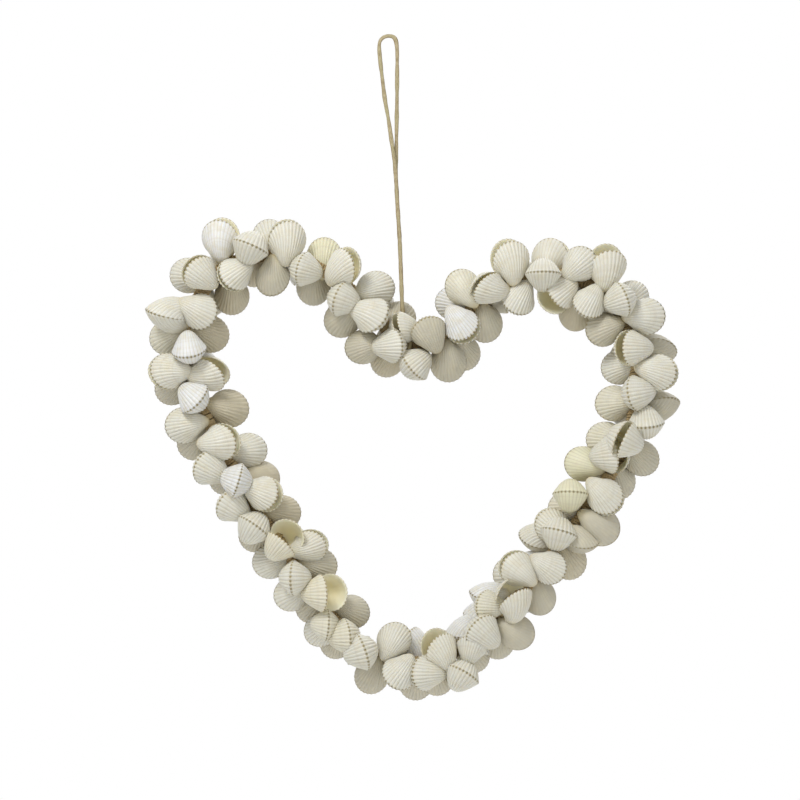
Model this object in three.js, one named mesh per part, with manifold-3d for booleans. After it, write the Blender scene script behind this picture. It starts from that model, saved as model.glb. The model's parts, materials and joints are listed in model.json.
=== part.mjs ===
// A hanging heart-shaped wreath of cockle shells.
//
// Millimetres, +Z up. The wreath hangs in the XZ plane and is seen from -Y.
// The origin is the hang point: the middle of the top bend of the loop, on its inner side.
// Every cockle is a pair of ribbed valves that meet at the hinge. Its hinge sits on a heart-shaped
// ring that is wound with twine, and its mouth points away from the ring. The cockles are glued in
// small bunches, and each bunch is one solid. The ring, the loop and the knot are solids too.
import * as THREE from 'three';
import { mergeVertices } from 'three/addons/utils/BufferGeometryUtils.js';
import Module from 'manifold-3d';

const wasm = await Module();
wasm.setup();

// Driving dimensions, millimetres.
const SHELL_LENGTH = 23.5;      // hinge line to the far margin, of a cockle of size 1
const HALF_LENGTH = 0.47;       // hinge to the middle of the shell, as a share of its length
const RING_RADIUS = 4.6;        // the wound ring
const RING_SIDES = 6;
const RING_STEPS = 1;           // steps between two control points of the ring
const TIP_RADIUS = 5;           // distance of a hinge from the middle of the ring
const GAP = 0.32;               // clear space between two separate solids
const OPEN_GAPE = 8;            // degrees: from here on the mouth is modelled open
const CORD = 2.4;               // thickness of the loop
const CORD_SIDES = 8;
const KNOT_HALF = 4.2;          // the knot covers this much of the ring each side of the cleft
const KNOT_RADIUS = 7.4;
const CLEARANCE = 11;           // least distance from the middle of a shell to the middle of the ring
const BACK_COUNT = 46;          // shells on the back of the ring, evenly spaced
const BACK_SIZE = 0.98;
const BACK_SWING = 16;          // degrees that the shells on the back lean to either side

// The layout below is measured from a point left of and below the hang point.
const LAYOUT_X = 8.4;
const LAYOUT_Z = -1.2;

// The middle line of the ring, clockwise from the cleft: x, z.
const RING_LINE = [
  [2, -185], [16, -182], [29, -173], [42, -161], [58, -149], [78, -142], [99, -142], [118, -150],
  [131, -165], [138, -183], [140, -203], [139, -223], [133, -244], [123, -263], [111, -281],
  [98, -299], [84, -316], [71, -332], [56, -347], [40, -361], [22, -371], [2, -374], [-16, -369],
  [-32, -357], [-46, -342], [-58, -327], [-69, -310], [-80, -293], [-92, -274], [-104, -254],
  [-114, -236], [-122, -216], [-128, -196], [-129, -175], [-122, -154], [-109, -138], [-91, -130],
  [-70, -130], [-50, -137], [-33, -149], [-18, -164], [-6, -177],
];

// The bunches of cockles, clockwise round the heart from the cleft and then up the left side.
// back lists which of the evenly spaced shells on the back of the ring touch the bunch.
// Each row of shells: x and z of the middle of the shell; aim, the way the mouth points in the XZ plane
// (0 is +X, 90 is up); tilt of the mouth towards the viewer; roll about the aim; gape between
// the valves (all in degrees); size; and how far the shell sits back from its place on the ring.
const BUNCHES = {
  cleft_1: { back: [], shells: [[7, -195, 219, 72, 0, 1, 1, 0]] },
  cleft_2: { back: [0, 44, 45], shells: [[-3, -168, 60, 0, 0, 4, 0.95, 9],
    [-9, -191, 240, -10, 0, 4, 0.95, 4]] },
  right_lobe_1: { back: [], shells: [[15.5, -175.5, 115, 45, 0, 5, 1, 0],
    [-23.5, -184, 195, 10, 0, 4, 0.95, 3], [0, -173, 130, 40, 60, 10, 0.85, 3],
    [-6.5, -183.5, 5, 58, 0, 3, 0.98, -2]] },
  right_lobe_2: { back: [1], shells: [[27, -193, 275, -5, 0, 4, 1, 1],
    [36, -187, 300, -10, 0, 4, 0.95, 10]] },
  right_lobe_3: { back: [], shells: [[35, -171.5, 305, 35, 0, 12, 0.98, 0]] },
  right_lobe_4: { back: [2], shells: [[31, -158, 165, -5, 0, 4, 0.95, 7],
    [49, -169.5, 280, 0, 0, 4, 0.98, 4], [36, -149, 125, 15, 0, 6, 0.97, 0],
    [50.5, -149, 190, 40, -40, 8, 0.98, 0], [69, -156, 240, 40, 0, 6, 0.95, 0]] },
  right_lobe_5: { shells: [], back: [3] },
  right_lobe_6: { back: [], shells: [[64, -132.5, 93, 10, 15, 24, 1.05, 0]] },
  right_lobe_7: { shells: [], back: [4] },
  right_lobe_8: { back: [], shells: [[83.5, -141, 90, 85, 0, 1, 1, 0],
    [92, -153, 215, 45, 0, 26, 1, 0], [105.5, -135, 42, 25, 0, 4, 0.97, 0],
    [121.5, -136, 75, 20, 20, 26, 1.05, 0], [111, -158, 240, 40, 0, 4, 0.93, 0]] },
  right_lobe_9: { back: [5], shells: [[89, -132, 85, -5, -20, 16, 1.08, 6]] },
  right_lobe_10: { shells: [], back: [6] },
  right_lobe_11: { back: [], shells: [[104, -163, 265, -5, 0, 4, 0.95, 5]] },
  right_lobe_12: { back: [7, 8], shells: [[137, -155, 40, -5, 0, 4, 0.95, 7]] },
  right_lobe_13: { back: [], shells: [[130, -156, 20, 76, 0, 1, 1, 0], [145, -166, 0, 20, 0, 4, 1, 0]] },
  right_side_1: { back: [], shells: [[120, -173.5, 200, 20, 0, 6, 0.95, 2]] },
  right_side_2: { back: [], shells: [[136, -185, 180, 50, 0, 14, 1, 0]] },
  right_side_3: { back: [9, 10], shells: [[153, -186, 345, -10, 50, 4, 1, 6],
    [131, -196, 195, 0, 0, 4, 0.97, 5]] },
  right_side_4: { back: [], shells: [[152.5, -199.5, 345, 25, 0, 8, 1, 0],
    [139, -212, 190, 62, 0, 2, 1, 0], [154.5, -219.5, 8, -5, 65, 4, 1, 5],
    [145, -230, 275, 78, 0, 1, 1.02, 0], [131.5, -239.5, 155, 74, 0, 10, 1.05, -3]] },
  right_side_5: { back: [11], shells: [[127.5, -218, 185, 0, 0, 4, 0.98, 5]] },
  right_side_6: { back: [12], shells: [[122.5, -240, 175, -5, 0, 4, 1, 6],
    [142.5, -250.5, 320, 5, 0, 4, 0.97, 4]] },
  right_side_7: { back: [13, 14], shells: [[125, -248.5, 8, 62, 0, 16, 1.05, 2],
    [129, -264, 290, -5, 0, 4, 1, 6], [108.5, -254.5, 165, 10, 0, 3, 0.97, 4]] },
  right_side_8: { back: [], shells: [[120.5, -273.5, 315, 25, 0, 8, 1, 0],
    [117.5, -291.5, 325, 10, 0, 4, 1.05, 2], [107, -300, 345, 20, -60, 4, 0.85, 8],
    [93, -295.5, 76, 80, 0, 4, 1.03, 0], [90, -292, 135, 5, 0, 12, 0.95, 3],
    [99, -312, 300, -5, 0, 4, 1.02, 5]] },
  right_side_9: { back: [15], shells: [[100, -272.5, 88, 80, 0, 1, 1, 0],
    [99, -281, 190, -5, 0, 4, 0.95, 8]] },
  right_side_10: { back: [16, 17], shells: [[81.5, -299, 165, -5, 55, 4, 0.97, 11],
    [81.5, -334, 290, 5, 0, 6, 0.95, 4]] },
  right_side_11: { back: [18], shells: [[87.5, -316, 330, 30, 0, 6, 0.93, 0],
    [68.5, -317, 140, 25, 0, 10, 0.98, 0], [66.5, -321, 180, -5, 0, 6, 1, 8]] },
  right_side_12: { back: [19], shells: [[65.5, -334.5, 68, 28, 48, 28, 1, 0],
    [51, -334, 165, 5, 75, 5, 0.95, 2], [67.5, -355, 330, 10, 0, 4, 0.97, 4],
    [50.5, -339, 175, 50, 0, 2, 0.88, 0], [57, -361, 275, -10, 0, 4, 0.95, 6]] },
  right_side_13: { back: [20, 21], shells: [[48, -345, 178, -5, 65, 4, 0.95, 11],
    [37.5, -355, 190, 10, 70, 4, 0.95, 9], [42, -370, 300, -10, 0, 4, 0.92, 9]] },
  point_1: { back: [], shells: [[47, -354, 138, 55, 0, 2, 1.05, -3],
    [41, -363.5, 75, 50, 0, 3, 0.85, 4], [35.5, -380, 60, 76, 0, 2, 1, 0],
    [21.5, -364.5, 105, 25, 25, 28, 0.97, 0]] },
  point_2: { back: [22], shells: [[20, -382, 285, -5, 0, 4, 0.97, 2],
    [13.5, -379, 180, 48, 0, 1, 1, 0], [7, -364, 85, -5, 60, 5, 0.92, 6],
    [8, -385, 262, -5, 0, 4, 0.98, 9], [-2.5, -379, 232, 42, 0, 3, 0.97, 0]] },
  point_3: { shells: [], back: [23] },
  point_4: { back: [], shells: [[-5.5, -360, 60, 12, 0, 4, 0.95, 2]] },
  point_5: { back: [], shells: [[-18.5, -381, 245, 5, 0, 4, 0.95, 3]] },
  point_6: { back: [], shells: [[-24.5, -366, 18, 78, 0, 5, 1.05, -2],
    [-34.5, -357, 5, 74, 0, 4, 1, 2]] },
  point_7: { back: [24, 25], shells: [[-40, -361, 250, -5, 0, 4, 0.92, 10],
    [-31, -343, 335, 5, 0, 4, 0.92, 5], [-46, -350.5, 355, 80, 0, 1, 0.88, 0],
    [-49, -354, 220, -5, 0, 4, 0.9, 3]] },
  left_side_1: { back: [26, 27], shells: [[-54, -340, 225, -5, 0, 4, 0.92, 8],
    [-66.5, -332.5, 205, 5, 0, 4, 0.93, 4], [-51, -315, 345, 5, 0, 4, 0.95, 5],
    [-56, -303.5, 10, 15, 15, 14, 0.92, 0]] },
  left_side_2: { back: [], shells: [[-46, -331, 2, 52, 0, 36, 1.03, 0],
    [-65, -322, 180, 81, 0, 1, 0.97, 0]] },
  left_side_3: { back: [28], shells: [[-79, -313, 195, 5, 0, 4, 0.95, 4]] },
  left_side_4: { back: [29], shells: [[-71, -299.5, 50, 54, 0, 38, 1, 0],
    [-88, -296, 240, -5, 0, 4, 0.97, 6], [-89, -292, 55, 80, 0, 1, 1.03, 0],
    [-73, -283.5, 350, 0, 0, 4, 0.95, 5], [-102.5, -279, 144, 52, 0, 2, 0.98, 0]] },
  left_side_5: { back: [31], shells: [[-83, -272, 338, 32, 0, 15, 0.97, 0],
    [-86, -263, 350, -5, 0, 4, 0.97, 7], [-99, -264, 343, 82, 0, 1, 0.98, 0],
    [-116, -256.5, 150, 50, 0, 2, 1.02, 0], [-108.5, -241, 0, 30, 12, 13, 1, 0]] },
  left_side_6: { shells: [], back: [30] },
  left_side_7: { back: [32], shells: [[-106, -262, 230, -5, 0, 4, 0.95, 7],
    [-93.5, -246.5, 5, 0, 0, 4, 0.97, 4]] },
  left_side_8: { back: [33], shells: [[-124.5, -241, 220, -5, 0, 6, 0.97, 5],
    [-105.5, -221, 348, 0, 0, 4, 1.05, 5], [-130.5, -231, 190, 15, 0, 5, 1, 2]] },
  left_side_9: { back: [34], shells: [[-124.5, -215, 317, 68, 0, 3, 0.98, 0],
    [-138, -208, 215, -5, 0, 4, 0.97, 7], [-116, -200, 345, 18, 40, 18, 1, 2],
    [-140, -199, 172, 18, 15, 11, 1, 0]] },
  left_side_10: { shells: [], back: [35] },
  left_side_11: { back: [], shells: [[-127.5, -186, 278, 66, 0, 1, 0.97, 0]] },
  left_side_12: { back: [36], shells: [[-141, -178, 205, -5, 0, 4, 0.97, 7],
    [-117, -176, 335, 0, 0, 4, 1.03, 5], [-141, -164.5, 170, 18, 78, 3, 1.08, 0]] },
  left_lobe_1: { back: [], shells: [[-121.5, -163, 333, 28, 0, 5, 1, 0]] },
  left_lobe_2: { shells: [], back: [37] },
  left_lobe_3: { back: [38], shells: [[-129, -141, 170, -10, 0, 4, 0.97, 6]] },
  left_lobe_4: { back: [], shells: [[-121.5, -140, 140, 45, 0, 8, 0.97, 0]] },
  left_lobe_5: { back: [39], shells: [[-103, -153, 265, -10, 0, 4, 0.97, 6],
    [-101, -141, 215, 42, 0, 7, 0.95, 0], [-91, -125, 67, 84, 0, 1, 1.05, 0]] },
  left_lobe_6: { back: [], shells: [[-109, -119.5, 97, 10, -15, 22, 1.03, 0]] },
  left_lobe_7: { back: [40], shells: [[-90, -137, 270, -20, 0, 4, 0.92, 7],
    [-80, -119, 105, -5, 0, 4, 0.97, 6], [-78, -142.5, 262, 15, 15, 5, 0.97, 2],
    [-69.5, -121, 80, 12, 15, 10, 1.05, 0]] },
  left_lobe_8: { back: [41, 42], shells: [[-47.5, -130, 85, 0, 0, 8, 0.97, 5],
    [-54, -147.5, 270, -10, 0, 4, 0.95, 6]] },
  left_lobe_9: { back: [], shells: [[-59, -138, 165, 70, 0, 3, 0.97, 0]] },
  left_lobe_10: { back: [43], shells: [[-35, -136.5, 62, 35, -35, 14, 1, 0],
    [-36.5, -155.5, 160, 70, 0, 1, 1, 0], [-17, -149.5, 15, 5, 0, 4, 1, 4],
    [-36, -167, 225, 0, 0, 4, 0.98, 5], [-18.5, -165.5, 352, 46, -22, 5, 1.05, 0]] },
};

// Solids.
function solidOf(points, triangles) {
  const vertProperties = new Float32Array(points.flat());
  const triVerts = new Uint32Array(triangles.flat());
  return new wasm.Manifold(new wasm.Mesh({ numProp: 3, vertProperties, triVerts }));
}

function solidFromGeometry(source) {
  const geometry = source.toNonIndexed ? source.clone() : source;
  geometry.deleteAttribute('normal');
  geometry.deleteAttribute('uv');
  const merged = mergeVertices(geometry, 1e-4);
  return new wasm.Manifold(new wasm.Mesh({
    numProp: 3,
    vertProperties: new Float32Array(merged.attributes.position.array),
    triVerts: new Uint32Array(merged.index.array),
  }));
}

function meshOf(name, solid, material) {
  const data = solid.getMesh();
  const geometry = new THREE.BufferGeometry();
  geometry.setAttribute('position', new THREE.BufferAttribute(new Float32Array(data.vertProperties), 3));
  geometry.setIndex(new THREE.BufferAttribute(new Uint32Array(data.triVerts), 1));
  geometry.computeVertexNormals();
  const mesh = new THREE.Mesh(geometry, material);
  mesh.name = name;
  return mesh;
}

// The ring.
const ringCurve = new THREE.CatmullRomCurve3(
  RING_LINE.map(([x, z]) => new THREE.Vector3(x + LAYOUT_X, 0, z + LAYOUT_Z)), true, 'catmullrom', 0.5);
const ringPoints = [];
for (let i = 0; i < RING_LINE.length * RING_STEPS; i += 1) {
  ringPoints.push(ringCurve.getPoint(i / (RING_LINE.length * RING_STEPS)));
}

// A closed tube round the ring line; flat sides face the front and the back.
function ringTube(radius) {
  const points = [];
  const triangles = [];
  const count = ringPoints.length;
  for (let i = 0; i < count; i += 1) {
    const along = ringPoints[(i + 1) % count].clone().sub(ringPoints[(i + count - 1) % count]).normalize();
    const side = new THREE.Vector3(along.z, 0, -along.x);
    for (let j = 0; j < RING_SIDES; j += 1) {
      const turn = 2 * Math.PI * (j + 0.5) / RING_SIDES;
      const p = ringPoints[i].clone().addScaledVector(side, radius * Math.cos(turn));
      points.push([p.x, radius * Math.sin(turn), p.z]);
    }
  }
  for (let i = 0; i < count; i += 1) {
    for (let j = 0; j < RING_SIDES; j += 1) {
      const a = i * RING_SIDES + j;
      const b = i * RING_SIDES + (j + 1) % RING_SIDES;
      const c = ((i + 1) % count) * RING_SIDES + (j + 1) % RING_SIDES;
      const d = ((i + 1) % count) * RING_SIDES + j;
      triangles.push([a, b, c], [a, c, d]);
    }
  }
  return solidOf(points, triangles);
}

const ringLength = ringCurve.getLength();
const finePoints = ringCurve.getPoints(RING_LINE.length * 8);

// How far a point of the XZ plane is from the middle line of the ring.
function ringDistance(x, z) {
  return Math.min(...finePoints.map((p) => Math.hypot(p.x - x, p.z - z)));
}

// The loop: one cord up from the knot, over the hang point and back down behind itself.
const LOOP_LINE = [
  [0.6, -172, -1.6], [-0.4, -160, -1.6], [-1, -146, -1.5], [-2, -120, -1.45], [-3.4, -98, -1.45],
  [-4.6, -78, -1.45], [-6.4, -64, -1.4], [-8.7, -48, -0.8], [-10.8, -36, -0.4], [-12.3, -24, 0],
  [-13.8, -11, 0], [-14.2, -2.5, 0], [-12.2, 1.2, 0], [-8.4, 2.4, 0], [-4.9, 0.9, 0], [-3.6, -5, 0],
  [-3.5, -16, 0], [-3.6, -36, 0.6], [-3.9, -56, 1.3], [-4.2, -78, 1.45], [-3.4, -98, 1.45],
  [-2, -120, 1.45], [-1, -146, 1.5], [-0.4, -160, 1.6], [0.6, -172, 1.6],
];
const loopCurve = new THREE.CatmullRomCurve3(
  LOOP_LINE.map(([x, z, y]) => new THREE.Vector3(x + LAYOUT_X, y, z + LAYOUT_Z)), false, 'catmullrom', 0.5);

function cordSolid(radius) {
  const section = new THREE.Shape();
  for (let j = 0; j < CORD_SIDES; j += 1) {
    const turn = 2 * Math.PI * (j + 0.5) / CORD_SIDES;
    const x = radius * Math.cos(turn);
    const y = radius * Math.sin(turn);
    if (j === 0) {
      section.moveTo(x, y);
    } else {
      section.lineTo(x, y);
    }
  }
  section.closePath();
  return solidFromGeometry(new THREE.ExtrudeGeometry(section, {
    steps: 52, curveSegments: 1, bevelEnabled: false, extrudePath: loopCurve }));
}

// The knot: a few turns of the cord round the ring at the cleft, and the lump on top.
function knotSolid(extra) {
  const turns = new THREE.LatheGeometry([
    new THREE.Vector2(0, -KNOT_HALF - extra),
    new THREE.Vector2(KNOT_RADIUS - 1 + extra, -KNOT_HALF - extra),
    new THREE.Vector2(KNOT_RADIUS + extra, -KNOT_HALF + 1.2),
    new THREE.Vector2(KNOT_RADIUS + extra, KNOT_HALF - 1.2),
    new THREE.Vector2(KNOT_RADIUS - 1 + extra, KNOT_HALF + extra),
    new THREE.Vector2(0, KNOT_HALF + extra),
  ], 12);
  turns.rotateZ(Math.PI / 2);
  turns.translate(1.4 + LAYOUT_X, 0, -185 + LAYOUT_Z);
  const lump = new THREE.LatheGeometry([
    new THREE.Vector2(0, -5 - extra),
    new THREE.Vector2(2.6 + extra, -4.2 - extra),
    new THREE.Vector2(3.4 + extra, 0),
    new THREE.Vector2(2.6 + extra, 4.2 + extra),
    new THREE.Vector2(0, 4.6 + extra),
  ], 10);
  lump.rotateX(Math.PI / 2);
  lump.translate(0.9 + LAYOUT_X, 0, -177 + LAYOUT_Z);
  return solidFromGeometry(turns).add(solidFromGeometry(lump));
}

const ring = ringTube(RING_RADIUS);
const ringClear = ringTube(RING_RADIUS + GAP / Math.cos(Math.PI / RING_SIDES));
const knot = knotSolid(0).subtract(ringClear);
const loop = cordSolid(CORD / 2).subtract(knotSolid(GAP));
const loopClear = cordSolid(CORD / 2 + GAP);
const knotClear = knotSolid(GAP);

// One cockle, in units of its length: X across, Y from hinge to margin, Z across the mouth.
const RIM = [
  [0.2, 0], [0.45, 0.3], [0.455, 0.64], [0.21, 0.98],
  [-0.21, 0.98], [-0.455, 0.64], [-0.45, 0.3], [-0.2, 0],
];
const SHOULDER = [[0, -0.1, 0.22], [0.32, 0.36, 0.29], [0, 0.62, 0.4], [-0.32, 0.36, 0.29]];
const CROWN = [0, 0.16, 0.43];
const DEEP = [0, 0.42, 0.2];
// Faces of one valve: 0-7 the rim, 8 the beak, 9-11 the shoulder, 12 the crown, 13 inside.
const VALVE_FACES = [
  [7, 0, 8], [0, 1, 9], [0, 9, 8], [1, 2, 9], [2, 3, 9], [3, 10, 9], [3, 4, 10], [4, 11, 10],
  [4, 5, 11], [5, 6, 11], [6, 7, 11], [7, 8, 11], [8, 9, 12], [9, 10, 12], [10, 11, 12], [11, 8, 12],
];
const MOUTH_FACES = [
  [1, 0, 13], [2, 1, 13], [3, 2, 13], [4, 3, 13], [5, 4, 13], [6, 5, 13], [7, 6, 13], [0, 7, 13],
];

function cockleShape(gape) {
  const open = gape >= OPEN_GAPE;
  const half = open ? THREE.MathUtils.degToRad(gape / 2) : 0;
  const points = [];
  const triangles = [];
  const index = new Map();
  const pointAt = (key, p) => {
    if (!index.has(key)) {
      index.set(key, points.length);
      points.push(p);
    }
    return index.get(key);
  };
  for (const side of [1, -1]) {
    const swing = (p) => [
      p[0],
      p[1] * Math.cos(half) - p[2] * Math.sin(half),
      side * (p[1] * Math.sin(half) + p[2] * Math.cos(half)),
    ];
    const ids = [];
    RIM.forEach(([x, y], i) => {
      const shared = !open || y === 0;
      ids.push(pointAt(shared ? `rim${i}` : `rim${i}${side}`, shared ? [x, y, 0] : swing([x, y, 0])));
    });
    SHOULDER.forEach((p, i) => ids.push(pointAt(`shoulder${i}${side}`, swing(p))));
    ids.push(pointAt(`crown${side}`, swing(CROWN)));
    if (open) {
      ids.push(pointAt(`deep${side}`, swing(DEEP)));
    }
    for (const [a, b, c] of open ? [...VALVE_FACES.slice(1), ...MOUTH_FACES] : VALVE_FACES) {
      triangles.push(side > 0 ? [ids[a], ids[b], ids[c]] : [ids[c], ids[b], ids[a]]);
    }
  }
  if (open) {
    // the ligament joins the two beaks behind the hinge line
    const [front, rear] = [index.get('shoulder01'), index.get('shoulder0-1')];
    triangles.push([index.get('rim0'), front, rear], [index.get('rim7'), rear, front]);
  }
  return { points, triangles };
}

// The axes of a cockle: across, from hinge to margin, and out of its front valve.
function cockleAxes(aim, tilt, roll) {
  const a = THREE.MathUtils.degToRad(aim);
  const t = THREE.MathUtils.degToRad(tilt);
  const r = THREE.MathUtils.degToRad(roll);
  const out = new THREE.Vector3(Math.cos(a), 0, Math.sin(a));
  const viewer = new THREE.Vector3(0, -1, 0);
  const forward = out.clone().multiplyScalar(Math.cos(t)).addScaledVector(viewer, Math.sin(t));
  const flat = out.clone().multiplyScalar(-Math.sin(t)).addScaledVector(viewer, Math.cos(t));
  const across = new THREE.Vector3(Math.sin(a), 0, -Math.cos(a));
  return {
    across: across.clone().multiplyScalar(Math.cos(r)).addScaledVector(flat, -Math.sin(r)),
    forward,
    normal: flat.clone().multiplyScalar(Math.cos(r)).addScaledVector(across, Math.sin(r)),
  };
}

function cockleSolid(hinge, axes, gape, size) {
  const length = SHELL_LENGTH * size;
  const { points, triangles } = cockleShape(gape);
  const placed = points.map(([x, y, z]) => {
    const p = hinge.clone()
      .addScaledVector(axes.across, x * length)
      .addScaledVector(axes.forward, y * length)
      .addScaledVector(axes.normal, z * length);
    return [p.x, p.y, p.z];
  });
  return {
    solid: solidOf(placed, triangles),
    middle: hinge.clone().addScaledVector(axes.forward, HALF_LENGTH * length),
  };
}

function visibleCockle([x, z, aim, tilt, roll, gape, size, depth]) {
  const axes = cockleAxes(aim, tilt, roll);
  const reach = HALF_LENGTH * SHELL_LENGTH * size;
  const hinge = new THREE.Vector3(x + LAYOUT_X, 0, z + LAYOUT_Z).addScaledVector(axes.forward, -reach);
  const distance = ringDistance(hinge.x, hinge.z);
  const lift = Math.abs(tilt) < 8 ? 0 : Math.sqrt(Math.max(0, TIP_RADIUS ** 2 - distance ** 2));
  hinge.y = (tilt > 0 ? -lift : lift) + depth;
  const middle = hinge.clone().addScaledVector(axes.forward, reach);
  const room = Math.sqrt(Math.max(0, CLEARANCE ** 2 - ringDistance(middle.x, middle.z) ** 2));
  if (Math.abs(middle.y) < room) {
    hinge.y += (middle.y < 0 ? -room : room) - middle.y;
  }
  return cockleSolid(hinge, axes, gape, size);
}

// A shell on the back of the ring, a little to one side, its flat width across the ring.
function backCockle(along, swing) {
  const u = (along / ringLength) % 1;
  const p = ringCurve.getPointAt(u);
  const t = ringCurve.getTangentAt(u);
  const side = new THREE.Vector3(t.z, 0, -t.x);
  const lean = THREE.MathUtils.degToRad(swing);
  const forward = new THREE.Vector3(0, Math.cos(lean), 0).addScaledVector(side, Math.sin(lean));
  const across = side.clone().multiplyScalar(Math.cos(lean));
  across.y = -Math.sin(lean);
  const normal = across.clone().cross(forward);
  const hinge = p.clone().addScaledVector(forward, TIP_RADIUS);
  return cockleSolid(hinge, { across, forward, normal }, 0, BACK_SIZE);
}

// Place every cockle.
const cockles = [];
Object.entries(BUNCHES).forEach(([bunch, { shells, back }]) => {
  for (const row of shells) {
    cockles.push({ bunch, ...visibleCockle(row) });
  }
  for (const k of back) {
    const along = ringLength * (k + 0.5) / BACK_COUNT;
    cockles.push({ bunch, ...backCockle(along, k % 2 === 0 ? -BACK_SWING : BACK_SWING) });
  }
});

// Separate bunches keep clear of each other: both shells stop short of the plane between them.
const cuts = cockles.map(() => []);
for (let i = 0; i < cockles.length; i += 1) {
  for (let j = 0; j < i; j += 1) {
    const a = cockles[i];
    const b = cockles[j];
    const apart = a.middle.distanceTo(b.middle);
    if (a.bunch !== b.bunch && apart < 1.6 * SHELL_LENGTH && a.solid.minGap(b.solid, GAP + 0.1) < GAP) {
      const normal = a.middle.clone().sub(b.middle).normalize();
      const half = a.middle.clone().add(b.middle).multiplyScalar(0.5).dot(normal);
      cuts[i].push([normal, half + GAP / 2]);
      cuts[j].push([normal.clone().negate(), GAP / 2 - half]);
    }
  }
}

function largestBody(solid) {
  const bodies = solid.decompose();
  return bodies.reduce((best, body) => (body.volume() > best.volume() ? body : best), bodies[0]);
}

cockles.forEach((cockle, i) => {
  let solid = cockle.solid;
  for (const [normal, offset] of cuts[i]) {
    solid = solid.trimByPlane([normal.x, normal.y, normal.z], offset);
  }
  cockle.solid = solid;
});

// The scene.
const shellMaterial = new THREE.MeshStandardMaterial({ color: 0xe6e2d4, roughness: 0.55, metalness: 0 });
const ringMaterial = new THREE.MeshStandardMaterial({ color: 0x6b5530, roughness: 0.9, metalness: 0 });
const cordMaterial = new THREE.MeshStandardMaterial({ color: 0xbfb083, roughness: 0.85, metalness: 0 });

const wreath = new THREE.Group();
wreath.add(meshOf('heart_ring', ring, ringMaterial));
wreath.add(meshOf('hanging_loop', loop, cordMaterial));
wreath.add(meshOf('hanging_knot', knot, cordMaterial));
for (const bunch of Object.keys(BUNCHES)) {
  let solid = null;
  for (const cockle of cockles.filter((one) => one.bunch === bunch)) {
    solid = solid === null ? cockle.solid : solid.add(cockle.solid);
  }
  solid = solid.subtract(ringClear).subtract(knotClear).subtract(loopClear);
  wreath.add(meshOf(`cockles_${bunch}`, largestBody(solid), shellMaterial));
}

export default wreath;
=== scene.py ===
# %% [markdown]
# # A heart of cockle shells
# Small white cockles, each still a pair of valves, are glued round a heart-shaped ring that is
# wound with brown twine. The wreath hangs from a loop of raffia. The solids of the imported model
# say where everything is. Blender gives the cockles their ribs, the ring its twine and the loop
# its fibres. Lengths are in millimetres in the tables and in metres in every mesh.

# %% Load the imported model
import json
import math

import bpy
import numpy as np
from mathutils import Matrix, Vector

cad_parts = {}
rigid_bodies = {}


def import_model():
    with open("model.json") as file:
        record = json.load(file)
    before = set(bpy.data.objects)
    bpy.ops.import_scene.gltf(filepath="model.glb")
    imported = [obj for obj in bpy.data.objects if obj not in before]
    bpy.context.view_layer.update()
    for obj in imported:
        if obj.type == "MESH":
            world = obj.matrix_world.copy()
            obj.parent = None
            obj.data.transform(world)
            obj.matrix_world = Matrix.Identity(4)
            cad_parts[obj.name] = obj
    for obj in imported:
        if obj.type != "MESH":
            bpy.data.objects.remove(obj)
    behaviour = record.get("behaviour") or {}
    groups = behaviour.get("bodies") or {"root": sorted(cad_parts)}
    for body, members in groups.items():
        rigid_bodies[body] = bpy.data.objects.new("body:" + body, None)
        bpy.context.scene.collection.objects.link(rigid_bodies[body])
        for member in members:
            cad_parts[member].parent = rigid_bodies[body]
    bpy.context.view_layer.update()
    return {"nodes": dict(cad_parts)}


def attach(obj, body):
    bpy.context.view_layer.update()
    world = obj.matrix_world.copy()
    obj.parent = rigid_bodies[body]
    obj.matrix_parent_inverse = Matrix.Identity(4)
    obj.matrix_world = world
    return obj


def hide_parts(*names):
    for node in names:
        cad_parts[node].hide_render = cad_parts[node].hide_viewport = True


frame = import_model()
print("nodes", len(frame["nodes"]))

# %% [markdown]
# ## Camera
# The wreath is seen square on, from a little over two metres with a long lens, so the shells
# on the left and on the right show hardly any of their sides. The camera comes first, because
# the loop is checked against what it sees.

# %% Camera: distance and width of the view in metres, and the point it looks at
VIEW_DISTANCE = 2.2
VIEW_WIDTH = 0.48
VIEW_CENTRE = (0.0066, -0.2172)
SENSOR = 36

camera = bpy.data.objects.new("camera", bpy.data.cameras.new("camera"))
bpy.context.collection.objects.link(camera)
camera.data.sensor_width = SENSOR
camera.data.lens = SENSOR * VIEW_DISTANCE / VIEW_WIDTH
camera.location = (VIEW_CENTRE[0], -VIEW_DISTANCE, VIEW_CENTRE[1])
camera.rotation_euler = (math.pi / 2, 0, 0)
bpy.context.scene.camera = camera
print("lens", round(camera.data.lens))

# %% [markdown]
# ## Curves by rule
# Every path here is a smooth line through a few given points. A Catmull-Rom curve passes
# through all of them, and the solids use the same one, so the two never part. A table point is
# shifted by a fixed amount, because the tables were drawn up before the hang point was chosen.

# %% Catmull-Rom curve
TABLE_X = 8.4
TABLE_Z = -1.2
CURVE_STEPS = 8


def from_table(x, z, y=0):
    return x + TABLE_X, y, z + TABLE_Z


def smooth_line(points, closed):
    points = [np.array(p, float) for p in points]
    count = len(points)
    before = 2 * points[0] - points[1]
    after = 2 * points[-1] - points[-2]

    def pick(i):
        if closed:
            return points[i % count]
        return before if i < 0 else after if i >= count else points[i]

    line = []
    for i in range(count if closed else count - 1):
        a, b, c, d = pick(i - 1), pick(i), pick(i + 1), pick(i + 2)
        for k in range(CURVE_STEPS):
            t = k / CURVE_STEPS
            line.append(0.5 * (2 * b + (c - a) * t + (2 * a - 5 * b + 4 * c - d) * t * t
                               + (3 * b - a - 3 * c + d) * t ** 3))
    if not closed:
        line.append(points[-1])
    return np.array(line)


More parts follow.
